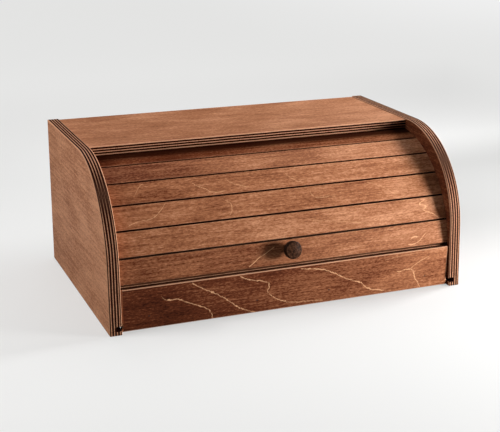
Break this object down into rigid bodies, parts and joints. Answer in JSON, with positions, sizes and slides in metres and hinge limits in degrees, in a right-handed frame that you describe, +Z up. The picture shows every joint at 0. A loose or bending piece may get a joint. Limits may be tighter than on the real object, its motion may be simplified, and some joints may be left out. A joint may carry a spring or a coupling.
{
  "type": "roll-front bread box",
  "caption": "Plywood bread box with a roll front of slats that slides up under the top, a turned knob, and a shallow drawer below its shelf.",
  "frame": {"origin": "middle of the overall box, on the plane of the feet", "axes": "+X along the length to the right seen from the front, -Y towards the front with the knob, +Z up"},
  "size_m": [0.38, 0.2408, 0.158],
  "materials": {
    "birch_plywood": "birch plywood with a warm red-brown stain, satin",
    "slat_plywood": "thin birch plywood slats with the same red-brown stain, satin",
    "beech_dowel": "plain beech",
    "dark_knob_wood": "turned hardwood stained dark brown, satin",
    "canvas": "plain-weave cotton canvas, glued",
    "steel": "bright zinc plated"
  },
  "bodies": {
    "carcass": {"left_side": "birch_plywood", "right_side": "birch_plywood", "top_panel": "birch_plywood", "top_dowels": "beech_dowel", "shelf": "birch_plywood", "floor_panel": "birch_plywood", "back_panel": "birch_plywood", "back_brads": "steel"},
    "roll_front": {"slat_1": "slat_plywood", "slat_2": "slat_plywood", "slat_3": "slat_plywood", "slat_4": "slat_plywood", "slat_5": "slat_plywood", "slat_6": "slat_plywood", "slat_7": "slat_plywood", "canvas": "canvas", "knob": "dark_knob_wood", "knob_screw": "steel"},
    "drawer": {"drawer_front": "birch_plywood", "drawer_left_side": "birch_plywood", "drawer_right_side": "birch_plywood", "drawer_back": "birch_plywood", "drawer_bottom": "birch_plywood", "drawer_brads": "steel"}
  },
  "joints": [
    {"name": "roll_open", "type": "hinge", "parent": "carcass", "child": "roll_front", "pos_m": [0, 0.00276, 0.0364], "axis": [-1, 0, 0], "range_deg": [0, 66.3]},
    {"name": "drawer_slide", "type": "slide", "parent": "carcass", "child": "drawer", "axis": [0, -1, 0], "range_m": [0, 0.18]}
  ]
}
